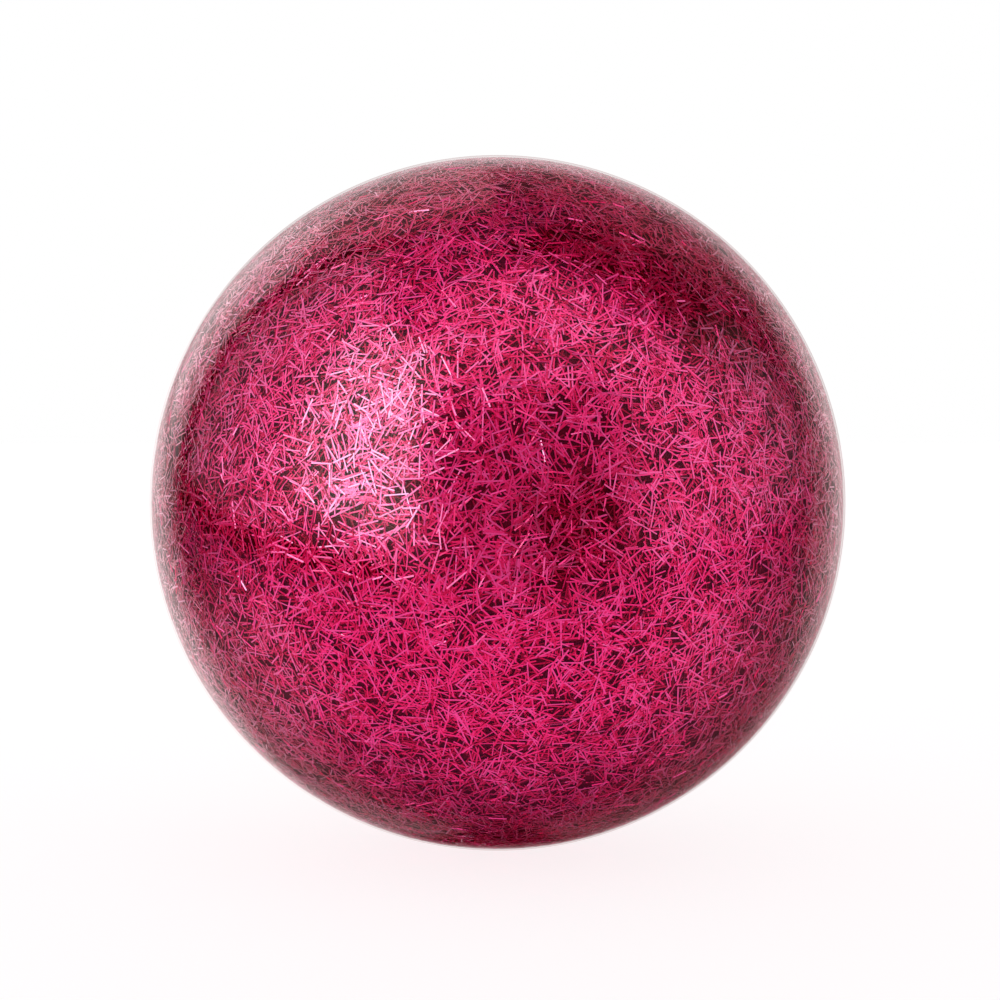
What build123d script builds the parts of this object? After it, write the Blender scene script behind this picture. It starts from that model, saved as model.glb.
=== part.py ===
from build123d import *
import math
import os

# A rhythmic gymnastics ball: three bonded plies of PVC round a sealed air space,
# with a moulded rubber valve and its push-in plug. Millimetres, origin at the
# ball's centre, +Z up. The valve's axis is +Y, and every piece is turned about it.

# Driving dimensions
ball_diameter = 185.0
skin_thickness = 0.5  # clear gloss ply
glitter_thickness = 0.8  # clear ply that carries the metallic slivers
base_thickness = 1.8  # opaque coloured ply

boss_radius = 6.0  # the valve's rubber disc where it passes through the wall
rim_bevel = 0.2  # the fine V seam round the rubber disc
flange_radius = 11.0  # collar under the wall that anchors the valve
flange_thickness = 1.8
flange_fillet = 0.8
tube_radius = 4.75
tube_fillet = 1.2
valve_depth = 15.0  # from the ball's surface to the end of the rubber tube

recess_radius = 3.9  # seat of the plug's head
recess_depth = 1.4
recess_bevel = 0.25
mouth_radius = 2.2  # the bore narrows evenly from its mouth to its throat
throat_radius = 1.7

head_radius = 3.6
head_fillet = 0.35
pin_length = 12.0
pin_fillet = 0.5
pin_clearance = 0.05  # all along the taper
seat_gap = 0.05  # under the plug's head

# Radii and heights worked out from them
ball_radius = ball_diameter / 2
glitter_radius = ball_radius - skin_thickness
base_radius = glitter_radius - glitter_thickness
cavity_radius = base_radius - base_thickness
flange_inner_radius = cavity_radius - flange_thickness
recess_floor = ball_radius - recess_depth
tube_end = ball_radius - valve_depth
head_base = recess_floor + seat_gap
pin_tip = head_base - pin_length


def on_sphere(radius, distance):
    """Point on a sphere's outline, on the valve's side, this far from the valve's axis."""
    return (distance, math.sqrt(radius**2 - distance**2))


def sphere_arc(radius, near, far):
    """Arc of a sphere's outline, on the valve's side, from far to near the valve's axis."""
    start = math.degrees(math.acos(far / radius))
    return CenterArc((0, 0), radius, start, math.degrees(math.acos(near / radius)) - start)


def ply_arc(radius, hole_radius):
    """Arc of a sphere's outline from the point opposite the valve up to the valve's hole."""
    return CenterArc((0, 0), radius, -90, 90 + math.degrees(math.acos(hole_radius / radius)))


def bore_radius(height):
    """Radius of the tapered bore at this height on the valve's axis."""
    share = (height - tube_end) / (recess_floor - tube_end)
    return throat_radius + share * (mouth_radius - throat_radius)


def corner(sketch, x, y):
    """The sketch's vertex at this place."""
    return sketch.vertices().sort_by_distance((x, y))[0]


# Clear gloss skin, its hole bevelled at the surface
with BuildPart() as clear_skin:
    with BuildSketch(Plane.XY):
        with BuildLine():
            outside = ply_arc(ball_radius, boss_radius + rim_bevel)
            inside = ply_arc(glitter_radius, boss_radius)
            bevel_foot = on_sphere(ball_radius - rim_bevel, boss_radius)
            Line(outside @ 0, inside @ 0)
            Polyline(outside @ 1, bevel_foot, inside @ 1)
        make_face()
    revolve(axis=Axis.Y)
clear_skin.part.label = "clear_skin"

# Clear ply full of metallic slivers
with BuildPart() as glitter_layer:
    with BuildSketch(Plane.XY):
        with BuildLine():
            outside = ply_arc(glitter_radius, boss_radius)
            inside = ply_arc(base_radius, boss_radius)
            Line(outside @ 0, inside @ 0)
            Line(outside @ 1, inside @ 1)
        make_face()
    revolve(axis=Axis.Y)
glitter_layer.part.label = "glitter_layer"

# Opaque coloured shell that holds the air
with BuildPart() as base_shell:
    with BuildSketch(Plane.XY):
        with BuildLine():
            outside = ply_arc(base_radius, boss_radius)
            inside = ply_arc(cavity_radius, boss_radius)
            Line(outside @ 0, inside @ 0)
            Line(outside @ 1, inside @ 1)
        make_face()
    revolve(axis=Axis.Y)
base_shell.part.label = "base_shell"

# Rubber valve: a disc flush with the ball, an anchoring flange and an inward tube
with BuildPart() as valve_boss:
    with BuildSketch(Plane.XY) as boss_section:
        with BuildLine():
            face = sphere_arc(ball_radius, recess_radius + recess_bevel, boss_radius - rim_bevel)
            shoulder = sphere_arc(cavity_radius, boss_radius, flange_radius)
            underside = sphere_arc(flange_inner_radius, tube_radius, flange_radius)
            Polyline(face @ 0, on_sphere(ball_radius - rim_bevel, boss_radius), shoulder @ 1)
            Line(shoulder @ 0, underside @ 0)
            Polyline(
                underside @ 1,
                (tube_radius, tube_end),
                (throat_radius, tube_end),
                (mouth_radius, recess_floor),
                (recess_radius, recess_floor),
                on_sphere(ball_radius - recess_bevel, recess_radius),
                face @ 1,
            )
        make_face()
        fillet(corner(boss_section, tube_radius, tube_end), tube_fillet)
        fillet(corner(boss_section, *on_sphere(flange_inner_radius, flange_radius)), flange_fillet)
    revolve(axis=Axis.Y)
valve_boss.part.label = "valve_boss"

# Plug: a head that completes the ball's curve, on a tapered pin
with BuildPart() as valve_plug:
    with BuildSketch(Plane.XY) as plug_section:
        with BuildLine():
            crown = sphere_arc(ball_radius, 0, head_radius)
            tip_radius = bore_radius(pin_tip) - pin_clearance
            Polyline(
                crown @ 0,
                (head_radius, head_base),
                (bore_radius(head_base) - pin_clearance, head_base),
                (tip_radius, pin_tip),
                (0, pin_tip),
                crown @ 1,
            )
        make_face()
        fillet(corner(plug_section, *on_sphere(ball_radius, head_radius)), head_fillet)
        fillet(corner(plug_section, tip_radius, pin_tip), pin_fillet)
    revolve(axis=Axis.Y)
valve_plug.part.label = "valve_plug"

os.makedirs("parts", exist_ok=True)
export_step(clear_skin.part, "parts/clear_skin.step")
export_step(glitter_layer.part, "parts/glitter_layer.step")
export_step(base_shell.part, "parts/base_shell.step")
export_step(valve_boss.part, "parts/valve_boss.step")
export_step(valve_plug.part, "parts/valve_plug.step")
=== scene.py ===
import math

import bpy
import numpy as np
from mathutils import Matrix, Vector


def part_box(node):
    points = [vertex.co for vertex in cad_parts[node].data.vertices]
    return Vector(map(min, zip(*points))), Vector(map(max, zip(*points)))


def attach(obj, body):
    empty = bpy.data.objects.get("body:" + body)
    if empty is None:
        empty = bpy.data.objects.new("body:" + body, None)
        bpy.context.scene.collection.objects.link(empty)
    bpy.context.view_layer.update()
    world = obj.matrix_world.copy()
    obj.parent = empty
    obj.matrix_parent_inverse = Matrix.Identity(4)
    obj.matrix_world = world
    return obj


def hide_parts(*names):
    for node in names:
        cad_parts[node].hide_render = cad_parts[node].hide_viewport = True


# A glitter ball for rhythmic gymnastics. Metres, in the row frame: the ball's centre is
# the origin, +Z is up and the valve is on +Y.

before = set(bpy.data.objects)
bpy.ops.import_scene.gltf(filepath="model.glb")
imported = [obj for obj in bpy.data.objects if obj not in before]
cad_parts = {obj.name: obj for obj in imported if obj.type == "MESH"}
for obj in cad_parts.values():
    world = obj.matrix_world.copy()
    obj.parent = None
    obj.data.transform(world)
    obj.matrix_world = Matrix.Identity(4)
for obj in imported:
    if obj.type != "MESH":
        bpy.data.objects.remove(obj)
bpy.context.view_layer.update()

MM = 0.001
SEED = 7


# Sizes: the plies and the valve from the frame, then the valve's moulded marks


def radius_of(name):
    """Half the width of a CAD node that is round about the valve's axis."""
    low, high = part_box(name)
    return (high[0] - low[0]) / 2


BALL = radius_of("clear_skin")
GLITTER = radius_of("glitter_layer")
BASE = radius_of("base_shell")


def disc_radius():
    """Radius of the valve's rubber disc where it passes through the wall."""
    spots = np.array([v.co[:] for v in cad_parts["valve_boss"].data.vertices])
    across = np.hypot(spots[:, 0], spots[:, 2])
    return float(across[spots[:, 1] > (BALL + GLITTER) / 2].max())


DISC = disc_radius()
PLUG_HEAD = radius_of("valve_plug")
RUBBER_RING = (PLUG_HEAD + DISC) / 2  # a raised ring moulded in the rubber disc
RUBBER_RING_WIDTH = 0.22 * MM
RUBBER_RING_HEIGHT = 0.10 * MM
PLUG_RING_PITCH = 0.36 * MM
GATE_MARK = 0.55 * MM
GATE_FLOOR = 0.6 * GATE_MARK
GATE_DEPTH = 0.05 * MM
GRIME_START = 0.86 * PLUG_HEAD


# Node helpers


def material(name):
    """A new node material, with its tree and its Principled shader."""
    made = bpy.data.materials.new(name)
    made.use_nodes = True
    tree = made.node_tree
    return made, tree, tree.nodes["Principled BSDF"]


def node(tree, kind, **values):
    """A node of this kind, with its properties and unlinked inputs set."""
    made = tree.nodes.new(kind)
    for key, value in values.items():
        if key in made.inputs:
            made.inputs[key].default_value = value
        else:
            setattr(made, key, value)
    return made


def feed(tree, made, values):
    """Sets or links a node's inputs in their order; gives its first output."""
    for place, value in enumerate(values):
        if isinstance(value, (int, float, tuple)):
            made.inputs[place].default_value = value
        else:
            tree.links.new(value, made.inputs[place])
    return made.outputs[0]


def maths(tree, operation, *values):
    """The output of a Math node fed with numbers or sockets."""
    return feed(tree, node(tree, "ShaderNodeMath", operation=operation), values)


def vector_maths(tree, operation, *values):
    """The output of a Vector Math node fed with colours or sockets."""
    return feed(tree, node(tree, "ShaderNodeVectorMath", operation=operation), values)


def mix_shaders(tree, share, first, second):
    """The first shader where the share is 0, and the second where it is 1."""
    return feed(tree, node(tree, "ShaderNodeMixShader"), (share, first, second))


def smooth_step(tree, value, low, high):
    """0 at low, 1 at high and a smooth ramp between."""
    made = node(tree, "ShaderNodeMapRange", interpolation_type="SMOOTHSTEP")
    tree.links.new(value, made.inputs["Value"])
    made.inputs["From Min"].default_value = low
    made.inputs["From Max"].default_value = high
    return made.outputs[0]


def colour_mix(tree, **values):
    """A Mix node for colours, with its sockets: share, first colour, second colour and result."""
    made = node(tree, "ShaderNodeMix", data_type="RGBA", **values)
    return made.inputs[0], made.inputs[6], made.inputs[7], made.outputs[2]


def mix_colours(tree, share, first, second):
    """The first colour where the share is 0, and the second where it is 1."""
    share_in, first_in, second_in, result = colour_mix(tree)
    tree.links.new(share, share_in)
    first_in.default_value = (*first, 1)
    second_in.default_value = (*second, 1)
    return result


def noise(tree, where, scale, detail):
    """A noise texture's level, in the piece's own space; scale is its cells in a metre."""
    made = node(tree, "ShaderNodeTexNoise", Scale=scale, Detail=detail)
    tree.links.new(where.outputs["Object"], made.inputs["Vector"])
    return made.outputs["Fac"]


def off_axis(tree, where):
    """Distance from the valve's axis, in metres."""
    split = node(tree, "ShaderNodeSeparateXYZ")
    tree.links.new(where.outputs["Object"], split.inputs[0])
    x, _, z = split.outputs
    squares = maths(tree, "ADD", maths(tree, "MULTIPLY", x, x), maths(tree, "MULTIPLY", z, z))
    return maths(tree, "SQRT", squares)


def set_bump(tree, shader, height, depth):
    """Bumps this deep, in metres, where the height goes from 0 to 1."""
    bump = node(tree, "ShaderNodeBump", Strength=1.0, Distance=depth)
    tree.links.new(height, bump.inputs["Height"])
    tree.links.new(bump.outputs["Normal"], shader.inputs["Normal"])


# Materials

LACQUER_ROUGHNESS = 0.06
SKIN_ROUGHNESS = 0.05
SKIN_IOR = 1.41
BASE_DARK = (0.040, 0.0003, 0.003)
BASE_LIGHT = (0.150, 0.0008, 0.010)
MOTTLE_SCALE = 900.0
RUBBER_DARK = (0.120, 0.004, 0.022)
RUBBER_LIGHT = (0.210, 0.010, 0.042)
GRAIN_SCALE = 2600.0
GRAIN_HEIGHT = 0.25  # of the rubber ring's
NYLON_LIGHT = (0.80, 0.77, 0.72)
NYLON_DARK = (0.70, 0.66, 0.59)
GRIME = (0.42, 0.30, 0.30)
CLOUD_SCALE = 700.0
PLUG_RING_HEIGHT = 0.12  # of the gate mark's depth


def strand_material(name, colour, metallic, roughness, lacquer):
    """Lacquered, metallised film of one tint; lacquer is its clear coat's index of refraction. The tints
    are lit and shaded copies of one film, darker for deeper slivers as painted shade.
    """
    made, _, shader = material(name)
    shader.inputs["Base Color"].default_value = (*colour, 1)
    shader.inputs["Metallic"].default_value = metallic
    shader.inputs["Roughness"].default_value = roughness
    shader.inputs["Specular IOR Level"].default_value = 0.0
    shader.inputs["Coat Weight"].default_value = 1.0
    shader.inputs["Coat Roughness"].default_value = LACQUER_ROUGHNESS
    shader.inputs["Coat IOR"].default_value = lacquer
    return made


def base_material():
    """Dark crimson PVC with a metallic pigment, a little uneven in depth."""
    made, tree, shader = material("crimson_pvc")
    mottle = noise(tree, node(tree, "ShaderNodeTexCoord"), MOTTLE_SCALE, 3.0)
    ramp = node(tree, "ShaderNodeValToRGB")
    ramp.color_ramp.elements[0].color = (*BASE_DARK, 1)
    ramp.color_ramp.elements[1].color = (*BASE_LIGHT, 1)
    tree.links.new(mottle, ramp.inputs["Fac"])
    tree.links.new(ramp.outputs["Color"], shader.inputs["Base Color"])
    shader.inputs["Metallic"].default_value = 0.5
    shader.inputs["Roughness"].default_value = 0.5
    shader.inputs["Specular IOR Level"].default_value = 0.0
    return made


def clear_material():
    """Clear gloss: what isn't mirrored at its outer face passes straight through."""
    made, tree, shader = material("clear_gloss")
    tree.nodes.remove(shader)
    gloss = node(tree, "ShaderNodeBsdfGlossy", Roughness=SKIN_ROUGHNESS)
    through = node(tree, "ShaderNodeBsdfTransparent")
    fresnel = node(tree, "ShaderNodeFresnel", IOR=SKIN_IOR)
    geometry = node(tree, "ShaderNodeNewGeometry")
    front = maths(tree, "SUBTRACT", 1.0, geometry.outputs["Backfacing"])
    share = maths(tree, "MULTIPLY", fresnel.outputs["Fac"], front)
    surface = mix_shaders(tree, share, through.outputs[0], gloss.outputs[0])
    tree.links.new(surface, tree.nodes["Material Output"].inputs["Surface"])
    return made


def rubber_material():
    """Soft maroon rubber with a fine grain, paler where it stands up, and a moulded ring round the plug."""
    made, tree, shader = material("valve_rubber")
    where = node(tree, "ShaderNodeTexCoord")
    grain = noise(tree, where, GRAIN_SCALE, 4.0)
    distance = off_axis(tree, where)
    inner = smooth_step(tree, distance, RUBBER_RING - RUBBER_RING_WIDTH, RUBBER_RING)
    outer = smooth_step(tree, distance, RUBBER_RING + RUBBER_RING_WIDTH, RUBBER_RING)
    ring = maths(tree, "MULTIPLY", inner, outer)
    height = maths(tree, "MULTIPLY_ADD", grain, GRAIN_HEIGHT, ring)
    set_bump(tree, shader, height, RUBBER_RING_HEIGHT)
    colour = mix_colours(tree, grain, RUBBER_DARK, RUBBER_LIGHT)
    tree.links.new(colour, shader.inputs["Base Color"])
    shader.inputs["Roughness"].default_value = 0.42
    return made


def plug_material():
    """Natural nylon: turned rings, the moulding's gate mark in the middle, a little grime at the rim."""
    made, tree, shader = material("plug_plastic")
    where = node(tree, "ShaderNodeTexCoord")
    cloud = noise(tree, where, CLOUD_SCALE, 3.0)
    distance = off_axis(tree, where)
    rings = maths(tree, "SINE", maths(tree, "MULTIPLY", distance, 2 * math.pi / PLUG_RING_PITCH))
    gate = smooth_step(tree, distance, GATE_FLOOR, GATE_MARK)
    height = maths(tree, "MULTIPLY_ADD", rings, PLUG_RING_HEIGHT, gate)
    set_bump(tree, shader, height, GATE_DEPTH)
    rim = smooth_step(tree, distance, GRIME_START, PLUG_HEAD)
    share, clean, dirt, colour = colour_mix(tree, blend_type="MULTIPLY")
    tree.links.new(maths(tree, "MULTIPLY", rim, cloud), share)
    tree.links.new(mix_colours(tree, cloud, NYLON_LIGHT, NYLON_DARK), clean)
    dirt.default_value = (*GRIME, 1)
    tree.links.new(colour, shader.inputs["Base Color"])
    shader.inputs["Roughness"].default_value = 0.32
    return made


# Slivers of metallised film

STRANDS = 84000
STRAND_LENGTH = 5.2 * MM
STRAND_SPREAD = 1.5 * MM
STRAND_SHORTEST = 2.6 * MM
STRAND_LONGEST = 8.5 * MM
STRAND_WIDTHS = (0.27 * MM, 0.42 * MM)
STRAND_THICKNESS = 0.04 * MM
STRAND_STRAY = 0.004  # radians about the spiral that the slivers' centres are laid along
CLUMPS = 8000
CLUMPED = 0.42  # share of the slivers that are drawn into the clumps
CLUMP_SIZE = 1.2 * MM
STRAND_ROLL = math.radians(4.2)  # over half lie this near to flat, and a few well off it
STRAND_ROLL_TAILS = 2  # degrees of freedom: fewer would put more slivers well off flat
STRAND_ROLL_LIMIT = math.radians(32)
STRAND_PITCH = math.radians(1.4)  # the spread of how far their ends rise or dip
LAYER_MARGIN = 0.03 * MM
VALVE_MARGIN = 0.4 * MM
VALVE_TESTS = 9  # points along a sliver whose distance from the valve is tested
STRANDS_PER_PIECE = 15000
SHADE_SPREAD = 0.25  # how loosely a sliver's tint follows its depth; the deeper tints are darker as painted shade

SHADED_TINTS = (
    # name, colour, metallic, roughness, lacquer and share, from the deepest slivers to the outermost. The
    # colours are lit and shaded copies of one fuchsia film, painted lighter towards the top and darker with
    # depth as painted shade.
    ("strand_maroon", (0.24, 0.001, 0.024), 0.78, 0.21, 1.24, 0.15),
    ("strand_crimson", (0.58, 0.004, 0.090), 0.80, 0.20, 1.34, 0.23),
    ("strand_magenta", (0.84, 0.014, 0.185), 0.80, 0.19, 1.72, 0.26),
    ("strand_fuchsia", (1.00, 0.050, 0.330), 0.80, 0.19, 2.10, 0.24),
    ("strand_pale", (1.00, 0.190, 0.520), 0.80, 0.20, 2.55, 0.12),
)


def strand_frames(rng, count):
    """Each sliver's direction from the ball's centre and its two axes along the surface."""
    golden = np.pi * (3 - np.sqrt(5))
    step = np.arange(count) + rng.uniform(0, 1, count)
    height = 1 - 2 * step / count
    turn = golden * np.arange(count) + rng.normal(0, STRAND_STRAY, count)
    flat = np.sqrt(1 - height**2)
    out = np.stack([flat * np.cos(turn), flat * np.sin(turn), height], 1)
    drawn = rng.uniform(0, 1, count) < CLUMPED
    hubs = out[rng.choice(count, CLUMPS, replace=False)]
    chosen = rng.integers(0, CLUMPS, drawn.sum())
    out[drawn] = hubs[chosen] + rng.normal(0, CLUMP_SIZE / GLITTER, (drawn.sum(), 3))
    out /= np.linalg.norm(out, axis=1, keepdims=True)
    helper = np.where(np.abs(out[:, 2:]) < 0.9, [[0.0, 0.0, 1.0]], [[1.0, 0.0, 0.0]])
    east = np.cross(helper, out)
    east /= np.linalg.norm(east, axis=1, keepdims=True)
    north = np.cross(out, east)
    heading = rng.uniform(0, 2 * np.pi, (count, 1))
    along = np.cos(heading) * east + np.sin(heading) * north
    return out, along, np.cross(out, along)


def strand_corners(rng, count):
    """The eight corners of each sliver, inside the clear ply and clear of the valve."""
    out, along, across = strand_frames(rng, count)
    length = np.clip(rng.normal(STRAND_LENGTH, STRAND_SPREAD, count), STRAND_SHORTEST, STRAND_LONGEST)
    width = rng.uniform(*STRAND_WIDTHS, count)
    roll = STRAND_ROLL * rng.standard_t(STRAND_ROLL_TAILS, count)
    roll = np.clip(roll, -STRAND_ROLL_LIMIT, STRAND_ROLL_LIMIT)
    pitch = np.clip(rng.normal(0, STRAND_PITCH, count), -2 * STRAND_PITCH, 2 * STRAND_PITCH)
    roll, pitch = roll[:, None], pitch[:, None]
    long_way = np.cos(pitch) * along + np.sin(pitch) * out
    up = np.cos(pitch) * out - np.sin(pitch) * along
    wide_way = np.cos(roll) * across + np.sin(roll) * up
    thick_way = np.cos(roll) * up - np.sin(roll) * across
    rise = length**2 / (8 * BASE)  # how much farther out a straight sliver's ends are than its middle
    half = (
        length / 2 * np.abs(np.sin(pitch[:, 0]))
        + width / 2 * np.abs(np.sin(roll[:, 0]))
        + STRAND_THICKNESS / 2
    )
    lowest = BASE + LAYER_MARGIN + half
    highest = GLITTER - LAYER_MARGIN - half - rise
    share = rng.uniform(0, 1, count)
    depth = lowest + (highest - lowest) * share
    centre = out * depth[:, None]
    steps = np.array([(x, y, z) for x in (-1, 1) for y in (-1, 1) for z in (-1, 1)]) / 2
    corners = (
        centre[:, None]
        + steps[None, :, :1] * (length[:, None, None] * long_way[:, None])
        + steps[None, :, 1:2] * (width[:, None, None] * wide_way[:, None])
        + steps[None, :, 2:] * (STRAND_THICKNESS * thick_way[:, None])
    )
    whole = (length[:, None] * long_way)[:, None]
    tested = centre[:, None] + np.linspace(-0.5, 0.5, VALVE_TESTS)[None, :, None] * whole
    nearest = np.hypot(tested[..., 0], tested[..., 2]).min(1)
    keep = (centre[:, 1] < 0) | (nearest > DISC + VALVE_MARGIN)
    return corners[keep], share[keep]


# The faces of a sliver, as places among its eight corners
BOX_FACES = np.array(
    [(0, 1, 3, 2), (4, 6, 7, 5), (0, 4, 5, 1), (2, 3, 7, 6), (0, 2, 6, 4), (1, 5, 7, 3)]
)


def strand_piece(name, corners, shade_of, materials):
    """One mesh of many closed slivers."""
    count = len(corners)
    mesh = bpy.data.meshes.new(name)
    faces = (BOX_FACES[None] + 8 * np.arange(count)[:, None, None]).reshape(-1, 4)
    mesh.vertices.add(8 * count)
    mesh.vertices.foreach_set("co", corners.reshape(-1).astype(np.float32))
    mesh.loops.add(faces.size)
    mesh.loops.foreach_set("vertex_index", faces.reshape(-1).astype(np.int32))
    mesh.polygons.add(len(faces))
    mesh.polygons.foreach_set("loop_start", np.arange(0, faces.size, 4, dtype=np.int32))
    mesh.polygons.foreach_set("material_index", np.repeat(shade_of, 6).astype(np.int32))
    for one in materials:
        mesh.materials.append(one)
    mesh.update(calc_edges=True)
    mesh.validate()
    mesh.shade_flat()
    return bpy.data.objects.new(name, mesh)


def add_strands():
    """All the slivers, in their tints, as several pieces that the export can hold."""
    rng = np.random.default_rng(SEED)
    corners, share = strand_corners(rng, STRANDS)
    # Painted shade: the deeper a sliver lies, the darker its tint, loosened by the spread.
    rank = np.argsort(np.argsort(share + rng.normal(0, SHADE_SPREAD, len(share)))) / len(share)
    shade_of = np.searchsorted(np.cumsum([tint[-1] for tint in SHADED_TINTS])[:-1], rank)
    materials = [strand_material(*tint[:-1]) for tint in SHADED_TINTS]
    pieces = math.ceil(len(corners) / STRANDS_PER_PIECE)
    for i in range(pieces):
        part = slice(i * STRANDS_PER_PIECE, (i + 1) * STRANDS_PER_PIECE)
        made = strand_piece(f"glitter_strands_{i + 1}", corners[part], shade_of[part], materials)
        bpy.context.collection.objects.link(made)
        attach(made, "ball")
        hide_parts("glitter_layer")


# Clear skin

SKIN_TURNS = 256
SKIN_STEPS = 150
SKIN_BEVEL = 0.2 * MM


def revolve(name, profile, turns):
    """A closed profile of (distance from the valve's axis, height along it), turned about the axis."""
    angles = np.linspace(0, 2 * np.pi, turns, endpoint=False)
    spots, rings = [], []
    for distance, height in profile:
        if distance == 0:
            rings.append([len(spots)] * turns)
            spots.append((0.0, height, 0.0))
        else:
            rings.append(list(range(len(spots), len(spots) + turns)))
            spots += [(distance * math.sin(a), height, distance * math.cos(a)) for a in angles]
    faces = []
    for i in range(len(rings)):
        one, two = rings[i], rings[(i + 1) % len(rings)]
        if one[0] == one[1] and two[0] == two[1]:
            continue
        for j in range(turns):
            k = (j + 1) % turns
            corners = [one[j], one[k], two[k], two[j]]
            faces.append(list(dict.fromkeys(corners)))
    mesh = bpy.data.meshes.new(name)
    mesh.from_pydata(spots, [], faces)
    mesh.validate()
    mesh.shade_smooth()
    made = bpy.data.objects.new(name, mesh)
    bpy.context.collection.objects.link(made)
    return made


def ply_curve(radius, hole, steps):
    """Points of a sphere's outline from the point opposite the valve up to its hole."""
    top = math.acos(hole / radius)
    return [
        (radius * math.cos(a), radius * math.sin(a)) if i else (0.0, -radius)
        for i, a in enumerate(np.linspace(-math.pi / 2, top, steps))
    ]


def add_skin():
    """The clear ply, with a hole for the valve's disc and a small bevel round it."""
    outside = ply_curve(BALL, DISC + SKIN_BEVEL, SKIN_STEPS)
    inside = ply_curve(GLITTER, DISC, SKIN_STEPS)
    foot = (DISC, math.sqrt((BALL - SKIN_BEVEL) ** 2 - DISC**2))
    skin = revolve("gloss_skin", outside + [foot] + inside[::-1], SKIN_TURNS)
    skin.data.materials.append(clear_material())
    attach(skin, "ball")
    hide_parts("clear_skin")


def dress(name, made):
    """Gives a CAD node its material."""
    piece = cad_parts[name]
    piece.data.materials.clear()
    piece.data.materials.append(made)


# Studio


FLOOR_SIZE = 8.0
FLOOR_GREY = (0.35, 0.35, 0.35)
FLOOR_GLOW = 0.84  # its own light, which keeps it nearly as pale as the background


def add_floor():
    """A pale floor that the ball stands on; the ball doesn't mirror it."""
    bpy.ops.mesh.primitive_plane_add(size=FLOOR_SIZE, location=(0, 0, -BALL))
    floor = bpy.context.object
    floor.name = "studio_floor"
    made, _, shader = material("studio_floor")
    shader.inputs["Base Color"].default_value = (*FLOOR_GREY, 1)
    shader.inputs["Roughness"].default_value = 0.8
    shader.inputs["Emission Color"].default_value = (1, 1, 1, 1)
    shader.inputs["Emission Strength"].default_value = FLOOR_GLOW
    floor.data.materials.append(made)
    floor.visible_glossy = False
    floor.visible_diffuse = False


PANELS = (
    # name, (left, right) azimuth, (left, right) softness, bottom edge's elevation at the
    # left and right, top edge's at the left and right, (bottom, top) softness, colour.
    # All in degrees but the last. Azimuth 0 is the camera's side, -Y, and 90 is +X. A top
    # edge above 90 leaves that end open.
    ("left_box", (-119, -20), (2, 4), (3.5, -20), (66, 52), (1.5, 3), (0.31, 0.25, 0.29)),
    ("left_core", (-66, -28), (17, 7), (1, -9), (49, 45), (5, 12), (0.60, 1.70, 1.30)),
    ("right_box", (44, 118), (9, 6), (-14, 2), (56, 34), (6, 7), (0.14, 0.20, 0.20)),
    ("top_front", (-32, 62), (8, 8), (36, 44), (80, 76), (8, 8), (0.22, 0.22, 0.22)),
    ("upper_left", (-178, -130), (3, 3), (34, 34), (68, 66), (6, 8), (0.50, 0.36, 0.36)),
    ("lower_left", (-172, -80), (3, 20), (-50, -50), (-14, -22), (12, 10), (0.26, 0.24, 0.24)),
    ("lower_right", (60, 172), (20, 3), (-50, -50), (-20, -12), (12, 12), (0.10, 0.10, 0.10)),
    ("backdrop", (145, 222), (14, 8), (-18, -22), (28, 30), (14, 14), (0.62, 0.58, 0.58)),
    ("left_wall", (200, 231), (10, 2), (9, 2), (38, 38), (2, 5), (0.70, 0.68, 0.68)),
    ("left_wall_low", (172, 230), (8, 8), (-24, -26), (9, 2), (8, 2), (0.52, 0.50, 0.50)),
    ("high_wall", (166, 196), (14, 10), (16, 16), (34, 34), (8, 10), (0.45, 0.45, 0.45)),
    ("high_back", (130, 184), (12, 6), (32, 32), (58, 54), (10, 10), (0.26, 0.11, 0.13)),
    ("right_wall", (128, 158), (16, 10), (-18, -10), (14, 22), (12, 14), (0.52, 0.48, 0.48)),
)
FLAGS = (
    # The same for the dark flags, which hold back the tinted fill; the last is by how much
    # of its red, green and blue.
    ("centre_flag", (-20, 46), (6, 10), (-28, -20), (28, 46), (8, 8), (0.39, 0.39, 0.39)),
    ("centre_spot", (10, 38), (5, 5), (-26, -18), (8, 10), (6, 6), (0.72, 0.72, 0.80)),
    ("right_flag", (84, 146), (7, 12), (32, 16), (120, 120), (8, 8), (0.90, 0.97, 0.98)),
    ("left_flag", (-131, -121), (2, 2), (1, -2), (38, 38), (3, 5), (0.48, 0.95, 0.92)),
    ("left_flag_high", (-128, -114), (3, 3), (32, 32), (68, 64), (5, 5), (0.55, 0.95, 0.90)),
    ("arc_flag", (-130, -32), (4, 6), (-2, -23), (6, -15), (2, 2), (0.56, 0.96, 0.92)),
)
TINTED_FILL = (0.86, 0.130, 0.430)  # a fuchsia light from all round, below and above
BACKWARDS = (-0.35, 0.80)  # how far towards +Y the tinted fill begins to fade and ends
DARKEST = (0.11, 0.002, 0.007)  # added everywhere, as the least that gloss sees
SOFT_FILL = (0.40, 0.40, 0.40)  # what matt surfaces see
BACKGROUND = (1.0, 1.0, 1.0)  # what the camera sees past the floor


def directions(tree):
    """
    The world's directions: how far towards +Y, then in degrees the azimuth from the camera's
    side, the azimuth from the far side, and the elevation.
    """
    where = node(tree, "ShaderNodeTexCoord")
    split = node(tree, "ShaderNodeSeparateXYZ")
    tree.links.new(where.outputs["Generated"], split.inputs[0])
    x, y, z = split.outputs
    front = maths(tree, "DEGREES", maths(tree, "ARCTAN2", x, maths(tree, "MULTIPLY", y, -1.0)))
    back = maths(tree, "DEGREES", maths(tree, "ARCTAN2", maths(tree, "MULTIPLY", x, -1.0), y))
    return y, front, back, maths(tree, "DEGREES", maths(tree, "ARCSINE", z))


def above(tree, around, elevation, ends, edge):
    """How far above an edge that slants evenly from a panel's left end to its right."""
    slope = (edge[1] - edge[0]) / (ends[1] - ends[0])
    height = maths(tree, "MULTIPLY_ADD", around, slope, edge[0] - slope * ends[0])
    return maths(tree, "SUBTRACT", elevation, height)


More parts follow.
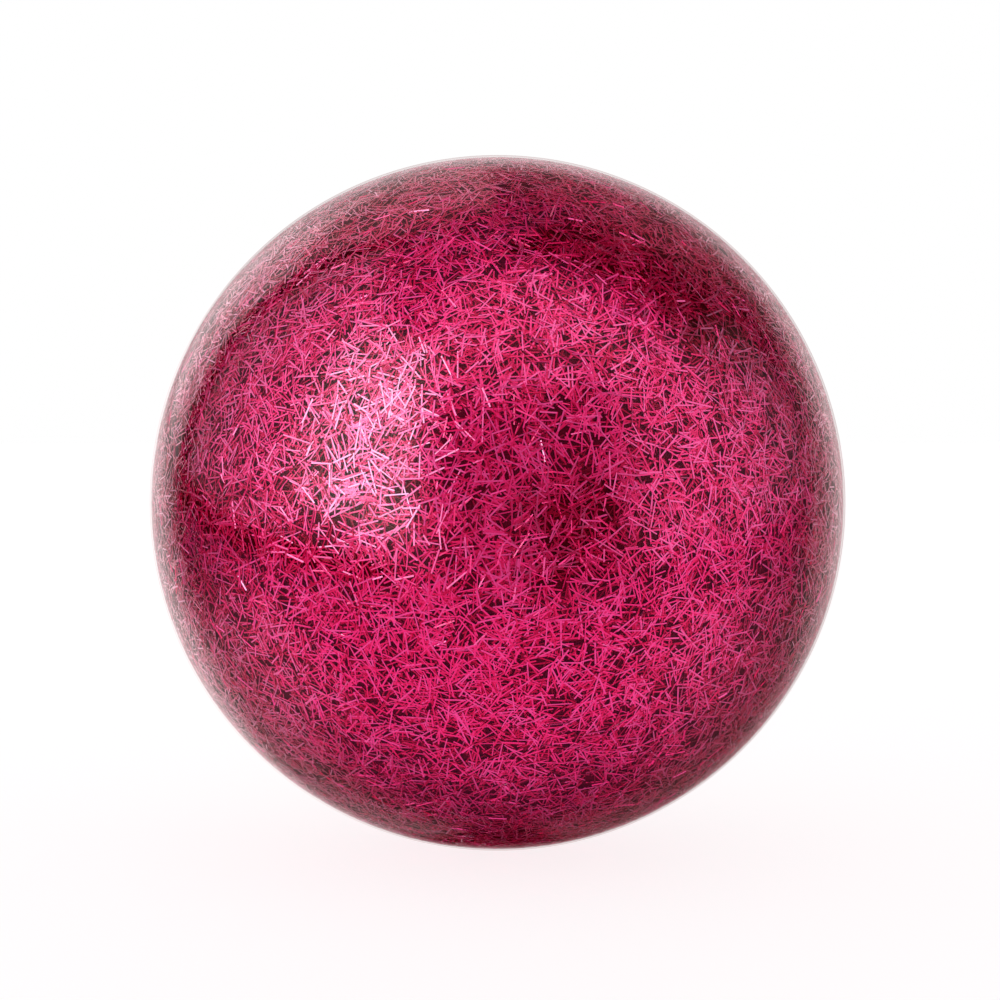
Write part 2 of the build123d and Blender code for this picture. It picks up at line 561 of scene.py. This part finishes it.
def panel(tree, front, back, elevation, ends, soft_ends, bottom, top, soft):
    """1 inside a panel, fading to 0 round its edges."""
    around = front
    if ends[1] > 180:
        around = back
        ends = (ends[0] - 180, ends[1] - 180)
    left, right = ends
    start = smooth_step(tree, around, left - soft_ends[0], left + soft_ends[0])
    end = smooth_step(tree, around, right + soft_ends[1], right - soft_ends[1])
    over_bottom = above(tree, around, elevation, ends, bottom)
    over_top = above(tree, around, elevation, ends, top)
    floor = smooth_step(tree, over_bottom, -soft[0], soft[0])
    ceiling = smooth_step(tree, over_top, soft[1], -soft[1])
    across = maths(tree, "MULTIPLY", start, end)
    return maths(tree, "MULTIPLY", across, maths(tree, "MULTIPLY", floor, ceiling))


def studio_shine(tree):
    """What gloss sees: the tinted fill, held back by the flags, and the panels over it."""
    along_y, *place = directions(tree)
    fades = smooth_step(tree, along_y, BACKWARDS[1], BACKWARDS[0])
    fill = vector_maths(tree, "MULTIPLY", fades, TINTED_FILL)
    for _, *shape, depths in FLAGS:
        taken = tuple(-depth for depth in depths)
        left_over = vector_maths(tree, "MULTIPLY_ADD", panel(tree, *place, *shape), taken, (1.0, 1.0, 1.0))
        fill = vector_maths(tree, "MULTIPLY", fill, left_over)
    shine = vector_maths(tree, "ADD", fill, DARKEST)
    for _, *shape, colour in PANELS:
        shine = vector_maths(tree, "MULTIPLY_ADD", panel(tree, *place, *shape), colour, shine)
    return shine


def plain_background(tree, colour):
    return node(tree, "ShaderNodeBackground", Color=(*colour, 1)).outputs[0]


def add_world():
    """
    Soft panels and a tinted fill for gloss, an even grey fill for matt surfaces, and plain
    white wherever the camera sees past the floor.
    """
    world = bpy.data.worlds.new("studio")
    bpy.context.scene.world = world
    world.use_nodes = True
    world.cycles.sampling_method = "NONE"
    tree = world.node_tree
    tree.nodes.clear()
    shine = node(tree, "ShaderNodeBackground")
    tree.links.new(studio_shine(tree), shine.inputs["Color"])
    ray = node(tree, "ShaderNodeLightPath").outputs
    light = mix_shaders(tree, ray["Is Diffuse Ray"], shine.outputs[0], plain_background(tree, SOFT_FILL))
    light = mix_shaders(tree, ray["Is Camera Ray"], light, plain_background(tree, BACKGROUND))
    out = node(tree, "ShaderNodeOutputWorld")
    tree.links.new(light, out.inputs["Surface"])


LENS = 85.0  # millimetres, like the sensor
SENSOR = 36.0
BALL_SHARE = 0.696  # of the frame's width
CAMERA_TILT = math.radians(3)
SHIFT = (0.0025, 0.003)


def add_camera():
    """On the -Y side, a little above the ball's centre and aimed at it, at the distance that frames it."""
    half = math.atan(BALL_SHARE * SENSOR / 2 / LENS)
    distance = BALL / math.sin(half)
    data = bpy.data.cameras.new("camera")
    data.lens = LENS
    data.sensor_width = SENSOR
    data.clip_start = 0.01
    data.clip_end = 50.0
    camera = bpy.data.objects.new("camera", data)
    bpy.context.collection.objects.link(camera)
    camera.location = Vector((0, -math.cos(CAMERA_TILT), math.sin(CAMERA_TILT))) * distance
    camera.rotation_euler = (math.pi / 2 - CAMERA_TILT, 0, 0)
    data.shift_x, data.shift_y = SHIFT
    bpy.context.scene.camera = camera


add_strands()
add_skin()
dress("base_shell", base_material())
dress("valve_boss", rubber_material())
dress("valve_plug", plug_material())
add_floor()
add_world()
add_camera()
bpy.context.scene.view_settings.view_transform = "Standard"
